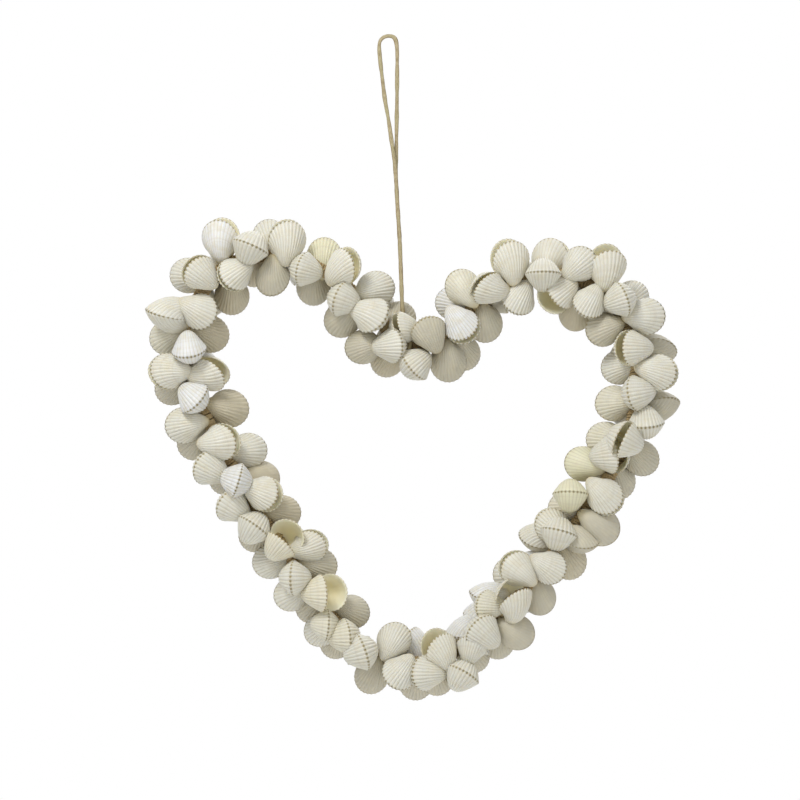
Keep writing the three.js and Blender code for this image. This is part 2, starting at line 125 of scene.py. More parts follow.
# %% Mesh helper
def new_object(name, points, faces):
    mesh = bpy.data.meshes.new(name)
    mesh.from_pydata([tuple(p) for p in points], [], faces)
    mesh.polygons.foreach_set("use_smooth", [True] * len(mesh.polygons))
    mesh.update()
    thing = bpy.data.objects.new(name, mesh)
    bpy.context.collection.objects.link(thing)
    return thing


def point_values(mesh, name, values):
    mesh.attributes.new(name, "FLOAT", "POINT").data.foreach_set("value", np.asarray(values, float))


# %% [markdown]
# ## The raffia loop
# Raffia is a dry, flat strip of leaf fibre. One strip goes up from the knot, over the nail and
# down again behind itself. It is swept here as a flat section with fine grooves along it. The
# strip turns a little and gets wider and narrower as it goes, as split leaf does. The way
# across the strip is kept in an attribute, so that the edges can be browner than the middle.

# %% Route of the loop: x, z, y in the table
LOOP_LINE = [
    (0.6, -172, -1.6), (-0.4, -160, -1.6), (-1, -146, -1.5), (-2, -120, -1.45), (-3.4, -98, -1.45),
    (-4.6, -78, -1.45), (-6.4, -64, -1.4), (-8.7, -48, -0.8), (-10.8, -36, -0.4), (-12.3, -24, 0),
    (-13.8, -11, 0), (-14.2, -2.5, 0), (-12.2, 1.2, 0), (-8.4, 2.4, 0), (-4.9, 0.9, 0),
    (-3.6, -5, 0), (-3.5, -16, 0), (-3.6, -36, 0.6), (-3.9, -56, 1.3), (-4.2, -78, 1.45),
    (-3.4, -98, 1.45), (-2, -120, 1.45), (-1, -146, 1.5), (-0.4, -160, 1.6), (0.6, -172, 1.6),
]
STRIP_WIDTH = 2.35
STRIP_THICK = 1.25

loop_line = smooth_line([from_table(x, z, y) for x, z, y in LOOP_LINE], closed=False)


# %% A flat fibrous strip along a line: each wave's length, and how strong it is
STRIP_SIDES = 20
BLUNT = 0.7
LEAN_WAVE = 47
WIDTH_WAVE, WIDTH_SHARE = 23, 0.1
NICK_WAVE, NICK_SHARE = 9, 0.05
GROOVES, GROOVE_DEPTH = 5, 0.13
GROOVE_WAVE, GROOVE_WANDER = 31, 0.8


def fibre_strip(name, line, flat, width, thick, seed, closed=False, turn=14):
    """flat is the way the flat side faces, one vector for each point of the line; turn is how
    many degrees the strip leans either way."""
    rng = np.random.default_rng(seed)
    lean_phase, width_phase, nick_phase, groove_phase = rng.uniform(0, 6.28, 4)
    along = np.roll(line, -1, 0) - np.roll(line, 1, 0)
    if not closed:
        along[0] = line[1] - line[0]
        along[-1] = line[-1] - line[-2]
    along /= np.linalg.norm(along, axis=1)[:, None]
    step = np.linalg.norm(np.roll(line, -1, 0) - line, axis=1)
    run = np.concatenate([[0], np.cumsum(step)[:-1]])
    whole = run[-1] + step[-1]

    def sway(s, wave, phase):
        """A sine along the strip, with a whole number of waves where the strip is closed."""
        pace = 2 * math.pi * round(whole / wave) / whole if closed else 2 * math.pi / wave
        return math.sin(s * pace + phase)

    points, across, length = [], [], []
    for p, t, f, s in zip(line, along, flat, run):
        f = f - t * f.dot(t)
        f /= np.linalg.norm(f)
        w = np.cross(t, f)
        lean = math.radians(turn) * sway(s, LEAN_WAVE, lean_phase)
        f, w = (f * math.cos(lean) + w * math.sin(lean), w * math.cos(lean) - f * math.sin(lean))
        wide = width * (1 + WIDTH_SHARE * sway(s, WIDTH_WAVE, width_phase)
                        + NICK_SHARE * sway(s, NICK_WAVE, nick_phase))
        wander = GROOVE_WANDER * sway(s, GROOVE_WAVE, groove_phase)
        for j in range(STRIP_SIDES):
            a = 2 * math.pi * j / STRIP_SIDES
            groove = 1 + GROOVE_DEPTH * math.cos(GROOVES * a + wander) * abs(math.sin(a))
            reach = abs(math.cos(a)) ** BLUNT
            u = 0.5 * wide * math.copysign(reach, math.cos(a))
            v = 0.5 * thick * math.sin(a) * groove
            points.append((p + w * u + f * v) / 1000)
            across.append(reach)
            length.append(s)
    rows = len(line)
    faces = []
    for i in range(rows if closed else rows - 1):
        this, after = i * STRIP_SIDES, (i + 1) % rows * STRIP_SIDES
        for j in range(STRIP_SIDES):
            k = (j + 1) % STRIP_SIDES
            faces.append((this + j, this + k, after + k, after + j))
    if not closed:
        faces.append(tuple(range(STRIP_SIDES - 1, -1, -1)))
        faces.append(tuple((rows - 1) * STRIP_SIDES + j for j in range(STRIP_SIDES)))
    strip = new_object(name, points, faces)
    point_values(strip.data, "across", across)
    point_values(strip.data, "length", length)
    return strip


# %% The loop itself
facing = np.tile([0.0, -1.0, 0.0], (len(loop_line), 1))
raffia_loop = fibre_strip("raffia_loop", loop_line, facing, STRIP_WIDTH, STRIP_THICK, 3)
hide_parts("hanging_loop")
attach(raffia_loop, "root")
print("loop faces", len(raffia_loop.data.polygons))

# %% [markdown]
# ## The ring
# The core of the ring is hidden. What shows between the shells is brown twine, wound on in
# close turns. That is one short shape many times along a path, which is work for Geometry
# Nodes: the tree takes the ring's line, puts points on it a little less than one twine's width
# apart and sets a slightly slanting turn of twine on each. Seeded numbers vary the slant and
# the size.

# %% Middle line of the ring, clockwise from the cleft: x, z in the table
RING_LINE = [
    (2, -185), (16, -182), (29, -173), (42, -161), (58, -149), (78, -142), (99, -142), (118, -150),
    (131, -165), (138, -183), (140, -203), (139, -223), (133, -244), (123, -263), (111, -281),
    (98, -299), (84, -316), (71, -332), (56, -347), (40, -361), (22, -371), (2, -374), (-16, -369),
    (-32, -357), (-46, -342), (-58, -327), (-69, -310), (-80, -293), (-92, -274), (-104, -254),
    (-114, -236), (-122, -216), (-128, -196), (-129, -175), (-122, -154), (-109, -138), (-91, -130),
    (-70, -130), (-50, -137), (-33, -149), (-18, -164), (-6, -177),
]
TWINE_RADIUS = 3.45
TWINE_THICK = 1.9

ring_line = smooth_line([from_table(x, z) for x, z in RING_LINE], closed=True)
ring_steps = np.linalg.norm(np.roll(ring_line, -1, 0) - ring_line, axis=1)
ring_run = np.concatenate([[0], np.cumsum(ring_steps)])
ring_length = float(ring_run[-1])
print("ring", round(ring_length), "mm")


# %% Small helpers for node trees
def add_socket(tree, name, kind, way="INPUT", value=None):
    socket = tree.interface.new_socket(name, in_out=way, socket_type="NodeSocket" + kind)
    if value is not None:
        socket.default_value = value


def set_input(modifier, name, value):
    for item in modifier.node_group.interface.items_tree:
        if item.item_type == "SOCKET" and item.in_out == "INPUT" and item.name == name:
            modifier[item.identifier] = value


def calc(tree, kind, first, second):
    """Does arithmetic on two values; each is a number or the output of another node."""
    node = tree.nodes.new("ShaderNodeMath")
    node.operation = kind
    for socket, value in zip(node.inputs, (first, second)):
        if isinstance(value, (int, float)):
            socket.default_value = value
        else:
            tree.links.new(value, socket)
    return node.outputs[0]


def bake_nodes(thing, tree, values):
    """Runs the tree on the object and keeps the result as a plain mesh."""
    modifier = thing.modifiers.new("nodes", "NODES")
    modifier.node_group = tree
    for name, value in values.items():
        set_input(modifier, name, value)
    seen = thing.evaluated_get(bpy.context.evaluated_depsgraph_get())
    mesh = bpy.data.meshes.new_from_object(seen)
    thing.modifiers.clear()
    if thing.type == "MESH":
        thing.data = mesh
        mesh.name = thing.name
        return thing
    made = bpy.data.objects.new(thing.name + "_mesh", mesh)
    bpy.context.collection.objects.link(made)
    return made


# %% Tree that winds turns of twine along a line
TURN_SPACING = 0.92
TURN_POINTS = 18
TWINE_POINTS = 6
SLANT = 0.2
SLANT_SHARES = (0.6, -0.5, 0.0), (1.4, 0.5, 0.0)
TURN_SIZES = 0.94, 1.04


def winding_tree():
    tree = bpy.data.node_groups.new("Twine wound on a ring", "GeometryNodeTree")
    add_socket(tree, "Line", "Geometry")
    add_socket(tree, "Winding radius", "Float", value=TWINE_RADIUS / 1000)
    add_socket(tree, "Twine thickness", "Float", value=TWINE_THICK / 1000)
    add_socket(tree, "Slant", "Float", value=SLANT)
    add_socket(tree, "Seed", "Int", value=1)
    add_socket(tree, "Material", "Material")
    add_socket(tree, "Geometry", "Geometry", "OUTPUT")
    node = tree.nodes.new
    link = tree.links.new
    given = node("NodeGroupInput")
    result = node("NodeGroupOutput")
    thickness = given.outputs["Twine thickness"]

    spaced = node("GeometryNodeResampleCurve")
    spaced.mode = "LENGTH"
    link(given.outputs["Line"], spaced.inputs["Curve"])
    link(calc(tree, "MULTIPLY", thickness, TURN_SPACING), spaced.inputs["Length"])

    turn = node("GeometryNodeCurvePrimitiveCircle")
    turn.inputs["Resolution"].default_value = TURN_POINTS
    link(given.outputs["Winding radius"], turn.inputs["Radius"])
    section = node("GeometryNodeCurvePrimitiveCircle")
    section.inputs["Resolution"].default_value = TWINE_POINTS
    link(calc(tree, "MULTIPLY", thickness, 0.5), section.inputs["Radius"])
    tube = node("GeometryNodeCurveToMesh")
    link(turn.outputs["Curve"], tube.inputs["Curve"])
    link(section.outputs["Curve"], tube.inputs["Profile Curve"])

    along = node("GeometryNodeInputTangent")
    face = node("FunctionNodeAlignRotationToVector")
    face.axis = "Z"
    link(along.outputs[0], face.inputs["Vector"])
    vary = node("FunctionNodeRandomValue")
    vary.data_type = "FLOAT_VECTOR"
    vary.inputs["Min"].default_value, vary.inputs["Max"].default_value = SLANT_SHARES
    link(given.outputs["Seed"], vary.inputs["Seed"])
    lean = node("ShaderNodeVectorMath")
    lean.operation = "SCALE"
    link(vary.outputs["Value"], lean.inputs[0])
    link(given.outputs["Slant"], lean.inputs["Scale"])
    as_turn = node("FunctionNodeEulerToRotation")
    link(lean.outputs[0], as_turn.inputs[0])
    both = node("FunctionNodeRotateRotation")
    both.rotation_space = "LOCAL"
    link(face.outputs[0], both.inputs["Rotation"])
    link(as_turn.outputs[0], both.inputs["Rotate By"])
    size = node("FunctionNodeRandomValue")
    size.inputs[2].default_value, size.inputs[3].default_value = TURN_SIZES
    link(given.outputs["Seed"], size.inputs["Seed"])

    place = node("GeometryNodeInstanceOnPoints")
    link(spaced.outputs["Curve"], place.inputs["Points"])
    link(tube.outputs["Mesh"], place.inputs["Instance"])
    link(both.outputs[0], place.inputs["Rotation"])
    link(size.outputs[1], place.inputs["Scale"])
    real = node("GeometryNodeRealizeInstances")
    link(place.outputs["Instances"], real.inputs["Geometry"])
    finish = node("GeometryNodeSetMaterial")
    link(real.outputs["Geometry"], finish.inputs["Geometry"])
    link(given.outputs["Material"], finish.inputs["Material"])
    link(finish.outputs["Geometry"], result.inputs["Geometry"])
    return tree


# %% [markdown]
# ## Twine and raffia finishes
# Both are plant fibre, so both are rough and have no sheen. Twine is a mix of dark and light
# fibres, finer than a millimetre, with paler stretches where it is worn. Raffia is split leaf:
# fine lines run along it, the edges are brown, and here and there a stretch is greener. All of
# that comes from noise, and the same noise lifts the surface a little.

# %% Material helpers
def new_material(name, roughness):
    finish = bpy.data.materials.new(name)
    finish.use_nodes = True
    shader = finish.node_tree.nodes["Principled BSDF"]
    shader.inputs["Roughness"].default_value = roughness
    return finish, finish.node_tree, shader


def noise(tree, scale, detail, stretch=None, source=None):
    node = tree.nodes.new("ShaderNodeTexNoise")
    node.inputs["Scale"].default_value = scale
    node.inputs["Detail"].default_value = detail
    if source is None:
        source = tree.nodes.new("ShaderNodeTexCoord").outputs["Object"]
    if stretch is not None:
        mapping = tree.nodes.new("ShaderNodeMapping")
        mapping.inputs["Scale"].default_value = stretch
        tree.links.new(source, mapping.inputs["Vector"])
        source = mapping.outputs["Vector"]
    tree.links.new(source, node.inputs["Vector"])
    return node.outputs["Fac"]


def between(tree, value, low, high, to_low=0.0, to_high=1.0):
    node = tree.nodes.new("ShaderNodeMapRange")
    node.interpolation_type = "SMOOTHSTEP"
    numbers = {"From Min": low, "From Max": high, "To Min": to_low, "To Max": to_high}
    for name, number in numbers.items():
        node.inputs[name].default_value = number
    tree.links.new(value, node.inputs["Value"])
    return node.outputs["Result"]


def blend_colour(tree, factor, first, second):
    """Mixes two colours; each is a plain colour or the output of another node."""
    node = tree.nodes.new("ShaderNodeMix")
    node.data_type = "RGBA"
    sockets = ("Factor", "VALUE", factor), ("A", "RGBA", first), ("B", "RGBA", second)
    for name, kind, value in sockets:
        target = next(s for s in node.inputs if s.name == name and s.type == kind)
        if isinstance(value, tuple):
            target.default_value = (*value, 1)
        else:
            tree.links.new(value, target)
    return next(s for s in node.outputs if s.type == "RGBA")


def named(tree, name):
    node = tree.nodes.new("ShaderNodeAttribute")
    node.attribute_name = name
    return node.outputs["Fac"]


def lift(tree, shader, height, strength, distance):
    node = tree.nodes.new("ShaderNodeBump")
    node.inputs["Strength"].default_value = strength
    node.inputs["Distance"].default_value = distance
    tree.links.new(height, node.inputs["Height"])
    tree.links.new(node.outputs["Normal"], shader.inputs["Normal"])


# %% Twine
TWINE_TONES = (0.24, 0.16, 0.07), (0.55, 0.42, 0.22)
TWINE_WORN = (0.62, 0.50, 0.28)


def twine_finish():
    finish, tree, shader = new_material("brown twine", 0.9)
    fibres = noise(tree, 2600, 3)
    stains = noise(tree, 90, 3)
    colour = blend_colour(tree, between(tree, fibres, 0.35, 0.68), *TWINE_TONES)
    colour = blend_colour(tree, between(tree, stains, 0.45, 0.7, 0, 0.5), colour, TWINE_WORN)
    tree.links.new(colour, shader.inputs["Base Color"])
    lift(tree, shader, fibres, 0.8, 0.0003)
    return finish


# %% Raffia
RAFFIA_TONES = (0.25, 0.18, 0.08), (0.63, 0.54, 0.34)
RAFFIA_GREEN = (0.47, 0.44, 0.24)
RAFFIA_EDGE = (0.25, 0.165, 0.06)


def raffia_finish():
    finish, tree, shader = new_material("dry raffia", 0.72)
    join = tree.nodes.new("ShaderNodeCombineXYZ")
    tree.links.new(named(tree, "across"), join.inputs["X"])
    tree.links.new(named(tree, "length"), join.inputs["Y"])
    lines = noise(tree, 1.0, 5, (9.0, 0.35, 1.0), join.outputs[0])
    patches = noise(tree, 1.0, 2, (0.6, 0.06, 1.0), join.outputs[0])
    edge = between(tree, named(tree, "across"), 0.6, 1.0, 0, 0.85)
    colour = blend_colour(tree, between(tree, lines, 0.32, 0.66), *RAFFIA_TONES)
    colour = blend_colour(tree, between(tree, patches, 0.42, 0.66, 0, 0.55), colour, RAFFIA_GREEN)
    colour = blend_colour(tree, edge, colour, RAFFIA_EDGE)
    tree.links.new(colour, shader.inputs["Base Color"])
    lift(tree, shader, lines, 0.55, 0.0004)
    return finish


twine = twine_finish()
raffia = raffia_finish()
raffia_loop.data.materials.append(raffia)
print("finishes", twine.name, "and", raffia.name)

# %% Wind the ring
ring_curve = bpy.data.curves.new("heart_line", "CURVE")
ring_curve.dimensions = "3D"
ring_spline = ring_curve.splines.new("POLY")
ring_spline.points.add(len(ring_line) - 1)
ring_places = np.column_stack([ring_line / 1000, np.ones(len(ring_line))])
ring_spline.points.foreach_set("co", ring_places.ravel())
ring_spline.use_cyclic_u = True
heart_line = bpy.data.objects.new("twine_ring", ring_curve)
bpy.context.collection.objects.link(heart_line)
twine_ring = bake_nodes(heart_line, winding_tree(), {"Seed": 7, "Material": twine})
bpy.data.objects.remove(heart_line)
twine_ring.name = "twine_ring"
twine_ring.data.polygons.foreach_set("use_smooth", [True] * len(twine_ring.data.polygons))
print("twine ring faces", len(twine_ring.data.polygons))
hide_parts("heart_ring")
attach(twine_ring, "root")

# %% [markdown]
# ## The knot
# At the cleft the raffia goes a few times round the ring and is tied off on top. The turns are
# closed strips of the same kind as the loop, side by side along the ring, and the knot is two
# small turns round the place where the two strands of the loop come down.

# %% Turns round the ring and the knot on top: shift, lean and radius of each
KNOT_CENTRE = from_table(1.4, -185)
KNOT_TOP = from_table(0.9, -177)
RING_TURNS = [(-2.7, 0.10, 5.7), (-0.9, -0.06, 6.0), (0.9, 0.08, 5.8), (2.7, -0.10, 5.7),
              (0.2, 0.34, 6.6)]
TOP_TURNS = [(-1.3, 0.22, 2.5), (0.9, -0.2, 2.6)]
RING_STRIP = {"steps": 40, "width": 2.1, "thick": 1.1}
TOP_STRIP = {"steps": 28, "width": 2.0, "thick": 1.0}


def knot_turn(name, centre, axis, radius, seed, steps, width, thick):
    """One closed turn of raffia round the axis, with its flat side outwards."""
    axis = Vector(axis).normalized()
    first = axis.orthogonal().normalized()
    second = axis.cross(first)
    angles = [2 * math.pi * i / steps for i in range(steps)]
    out = [first * math.cos(a) + second * math.sin(a) for a in angles]
    line = np.array([tuple(Vector(centre) + o * radius) for o in out])
    out = np.array([tuple(o) for o in out])
    return fibre_strip(name, line, out, width, thick, seed, closed=True, turn=6)


knot_parts = []
for i, (shift, lean, radius) in enumerate(RING_TURNS):
    centre = (KNOT_CENTRE[0] + shift, 0, KNOT_CENTRE[2])
    knot_parts.append(knot_turn(f"knot_turn_{i}", centre, (1, lean, -lean), radius, 20 + i,
                                **RING_STRIP))
for i, (shift, lean, radius) in enumerate(TOP_TURNS):
    centre = (KNOT_TOP[0], 0, KNOT_TOP[2] + shift)
    knot_parts.append(knot_turn(f"knot_top_{i}", centre, (lean, 0.15, 1), radius, 30 + i,
                                **TOP_STRIP))
print("knot turns", len(knot_parts))

# %% The knot as one piece
for part in knot_parts:
    part.data.materials.append(raffia)
with bpy.context.temp_override(active_object=knot_parts[0], selected_editable_objects=knot_parts):
    bpy.ops.object.join()
raffia_knot = knot_parts[0]
raffia_knot.name = "raffia_knot"
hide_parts("hanging_knot")
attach(raffia_knot, "root")
print("knot faces", len(raffia_knot.data.polygons))

# %% [markdown]
# ## One cockle valve
# A cockle grows by adding to its margin while it turns, so every older margin is a smaller copy
# of the newest one, swung round the hinge. That rule gives the whole valve: rows of points from
# the margin back to the beak, each turned further and scaled down. The ribs are a wave across
# the row. Some valves are worn nearly smooth, so each kind of valve gets its own rib height.
# The shell has a wall and an inside, because gaping pairs show it. The angle psi runs along the
# margin from one end of the hinge to the other, and the smooth stretch at each end is an ear.

# %% The valve rule: half the length and the inside are shares, rows are degrees of turn
SHELL_LENGTH = 23.5
HALF_LENGTH = 0.47
SPIRAL = 0.66
ROUNDNESS = 0.9
BEAK_TURN = 168
RIB_EDGE = math.radians(80)
RIB_FADE = math.radians(14)
EAR = math.radians(86)
INNER_SHARE = 0.955
INNER_POINTS = 41
INNER_ROWS = (0, 15, 40, 75, 115)


def valve_row(degrees, psi, reach, broad):
    """Points of the margin as it was at one stage: swung back round the hinge and smaller."""
    phi = math.radians(degrees)
    grown = math.exp(-SPIRAL * phi) * (np.cos(psi) ** ROUNDNESS * reach)
    return np.stack([grown * np.sin(psi) * broad, grown * np.cos(psi) * math.cos(phi),
                     grown * np.cos(psi) * math.sin(phi)], 1)


def rib_share(degrees):
    """How much of their full height the ribs have in a row: less at the rim and the beak."""
    if degrees == 0:
        return 0.45
    if degrees < 5:
        return 0.8
    return 1.0 if degrees < 80 else 0.7


# %% One valve as a mesh; side is 1 or -1
def cockle_valve(name, side, ribs, rib_height, broad, per_rib, rows):
    psi = np.linspace(-RIB_EDGE, RIB_EDGE, ribs * per_rib + 1)
    psi = np.concatenate([[-math.pi / 2, -EAR], psi, [EAR, math.pi / 2]])
    wave = np.cos((psi + RIB_EDGE) / (2 * RIB_EDGE) * ribs * 2 * math.pi)
    wave = np.sign(wave) * np.abs(wave) ** 0.8
    wave = wave * np.clip((RIB_EDGE - np.abs(psi)) / RIB_FADE, 0, 1)
    columns = len(psi)
    points, grow, rib = [], [], []
    for degrees in rows:
        points.append(valve_row(degrees, psi, 1 + rib_height * wave * rib_share(degrees), broad))
        grow.append(np.full(columns, degrees / BEAK_TURN))
        rib.append(wave)
    faces = [(a, a + 1, a + columns + 1, a + columns)
             for i in range(len(rows) - 1) for a in range(i * columns, i * columns + columns - 1)]
    faces.append(tuple((len(rows) - 1) * columns + j for j in range(columns)))

    base = len(rows) * columns
    inner_psi = np.linspace(-EAR, EAR, INNER_POINTS)
    last = INNER_POINTS - 1
    for degrees in INNER_ROWS:
        points.append(valve_row(degrees, inner_psi, INNER_SHARE, broad))
        grow.append(np.full(INNER_POINTS, degrees / BEAK_TURN))
        rib.append(np.zeros(INNER_POINTS))
    for i in range(len(INNER_ROWS) - 1):
        for a in range(base + i * INNER_POINTS, base + i * INNER_POINTS + last):
            faces.append((a, a + INNER_POINTS, a + INNER_POINTS + 1, a + 1))
    deepest = base + (len(INNER_ROWS) - 1) * INNER_POINTS
    faces.append(tuple(deepest + j for j in range(last, -1, -1)))

    outer, inner = 0, 0
    while outer < columns - 1 or inner < last:
        if inner == last or (outer < columns - 1 and psi[outer + 1] <= inner_psi[inner + 1]):
            faces.append((outer, base + inner, outer + 1))
            outer += 1
        else:
            faces.append((outer, base + inner, base + inner + 1))
            inner += 1
    points = np.vstack(points) * SHELL_LENGTH / 1000
    if side < 0:
        points[:, 2] *= -1
        faces = [tuple(reversed(f)) for f in faces]
    valve = new_object(name, points, faces)
    inside = np.zeros(len(points))
    inside[base:] = 1
    point_values(valve.data, "inner", inside)
    point_values(valve.data, "grow", np.concatenate(grow))
    point_values(valve.data, "rib", np.concatenate(rib))
    return valve


# %% The kinds of valve: ribs, rib height, breadth, points per rib, rows
FINE_ROWS = (0, 3, 10, 20, 32, 46, 62, 80, 102, 130, 168)
PLAIN_ROWS = (0, 8, 24, 46, 72, 110, 168)
VALVE_KINDS = {
    "crisp": (24, 0.022, 0.90, 4, FINE_ROWS),
    "broad": (22, 0.020, 0.91, 4, FINE_ROWS),
    "worn": (24, 0.007, 0.90, 4, FINE_ROWS),
    "back": (22, 0.014, 0.90, 2, PLAIN_ROWS),
}
valve_shelf = bpy.data.collections.new("valves")
valve_index = {}
for kind, (ribs, height, broad, per_rib, rows) in VALVE_KINDS.items():
    for side in (1, -1):
        number = len(valve_index)
        valve = cockle_valve(f"valve_{number:02d}_{kind}", side, ribs, height, broad, per_rib, rows)
        bpy.context.collection.objects.unlink(valve)
        valve_shelf.objects.link(valve)
        valve_index[kind, side] = number
        print(valve.name, "triangles", sum(len(p.vertices) - 2 for p in valve.data.polygons))

# %% [markdown]
# ## Shell finish
# Cockle shell is chalky and half matt, and a little light goes through its edge. Each pair has
# its own tint, from bluish white to pale yellow. The darker grey and khaki tints, g and k, paint
# shade on pairs that sit back in the wreath and on pairs that face down. Over the tint lie soft
# blotches, faint bands along the old margins, painted shade in the grooves between the ribs and
# a yellow stain near the beak, which is partly the shell's own stain and partly painted shade
# where the beaks crowd together on the ring. Where two valves meet, the rim gets painted shade,
# darkest in the notches between the rib ends, so it reads as a dark seam that breaks up into
# dots. The inside is a warmer yellow. Bands, grooves and seam read the attributes that the valve
# rule wrote.

# %% Tints of the pairs, and the colours that lie over them
# w, c, y and b are the shells' own tones; g and k are darker grey and khaki copies that paint shade
# on pairs that sit back in the wreath and on pairs that face down.
TINTS = {
    "w": (0.76, 0.74, 0.645),
    "c": (0.77, 0.735, 0.60),
    "y": (0.80, 0.77, 0.56),
    "b": (0.81, 0.81, 0.79),
    "k": (0.57, 0.515, 0.38),
    "g": (0.57, 0.535, 0.425),
}
TINT_ORDER = "".join(TINTS)
BLOTCH = (0.70, 0.64, 0.48)
BAND = (0.58, 0.52, 0.40)
# Painted shade in the grooves between the ribs.
GROOVE_PAINTED_SHADE = (0.56, 0.50, 0.36)
# Partly the shell's own yellow stain near the beak and partly painted shade where the beaks crowd
# together on the ring.
BEAK_STAIN_AND_SHADE = (0.70, 0.57, 0.29)
# Painted shade at the rim where two valves meet, darkest in the notches between the rib ends.
RIM_SEAM_SHADE = (0.34, 0.27, 0.12)
INSIDE = (0.93, 0.90, 0.72), (0.92, 0.85, 0.60)


def tint_colour(tree):
    """One flat step of a colour ramp for each tint, picked by the number that a pair carries."""
    ramp = tree.nodes.new("ShaderNodeValToRGB")
    ramp.color_ramp.interpolation = "CONSTANT"
    steps = ramp.color_ramp.elements
    steps.remove(steps[1])
    steps[0].position = 0
    steps[0].color = (*TINTS[TINT_ORDER[0]], 1)
    for i, letter in enumerate(TINT_ORDER[1:], 1):
        steps.new(i / len(TINTS)).color = (*TINTS[letter], 1)
    middle_of_step = calc(tree, "ADD", named(tree, "tint"), 0.5)
    tree.links.new(calc(tree, "DIVIDE", middle_of_step, len(TINTS)), ramp.inputs["Fac"])
    return ramp.outputs["Color"]


# %% Shell finish
def shell_finish():
    finish, tree, shader = new_material("cockle shell", 0.46)
    shade, grow, rib = (named(tree, name) for name in ("shade", "grow", "rib"))
    old_margins = tree.nodes.new("ShaderNodeCombineXYZ")
    tree.links.new(grow, old_margins.inputs["X"])
    tree.links.new(shade, old_margins.inputs["Y"])
    blotches = noise(tree, 170, 3)
    bands = noise(tree, 1.0, 2, (26.0, 40.0, 1.0), old_margins.outputs[0])
    near_beak = between(tree, grow, 0.3, 0.85)
    # Yellow near the beak: partly the shell's own stain, partly painted shade where the beaks crowd
    # on the ring.
    beak_stain_and_shade = calc(tree, "MULTIPLY", near_beak, between(tree, shade, 0.1, 0.9, 0.25, 0.85))
    # Painted shade along the rim, strongest in the notches between the rib ends.
    at_rim = between(tree, grow, 0.014, 0.003)
    rim_seam_shade = calc(tree, "MULTIPLY", at_rim, between(tree, rib, 0.6, -0.7, 0.15, 1.0))

    colour = tint_colour(tree)
    colour = blend_colour(tree, between(tree, blotches, 0.46, 0.72, 0, 0.45), colour, BLOTCH)
    colour = blend_colour(tree, between(tree, bands, 0.5, 0.68, 0, 0.22), colour, BAND)
    # Painted shade: the grooves between the ribs are darkened.
    colour = blend_colour(tree, between(tree, rib, -0.1, -1.0, 0, 0.48), colour, GROOVE_PAINTED_SHADE)
    colour = blend_colour(tree, beak_stain_and_shade, colour, BEAK_STAIN_AND_SHADE)
    colour = blend_colour(tree, rim_seam_shade, colour, RIM_SEAM_SHADE)
    inside = blend_colour(tree, between(tree, grow, 0.0, 0.35), *INSIDE)
    colour = blend_colour(tree, named(tree, "inner"), colour, inside)
    tree.links.new(colour, shader.inputs["Base Color"])
    tree.links.new(between(tree, blotches, 0.3, 0.7, 0.38, 0.58), shader.inputs["Roughness"])
    shader.inputs["Subsurface Weight"].default_value = 0.2
    shader.inputs["Subsurface Radius"].default_value = (1.0, 0.8, 0.5)
    shader.inputs["Subsurface Scale"].default_value = 0.0025

    rings = tree.nodes.new("ShaderNodeTexWave")
    rings.wave_type = "BANDS"
    rings.bands_direction = "X"
    rings.inputs["Scale"].default_value = 16
    rings.inputs["Distortion"].default_value = 2.5
    rings.inputs["Detail"].default_value = 2
    tree.links.new(old_margins.outputs[0], rings.inputs["Vector"])
    ridges = calc(tree, "MULTIPLY", rings.outputs["Fac"], 0.5)
    grain = calc(tree, "MULTIPLY", noise(tree, 1500, 3), 0.6)
    lift(tree, shader, calc(tree, "ADD", ridges, grain), 0.3, 0.00018)
    return finish


shell = shell_finish()
print("tints", len(TINTS))
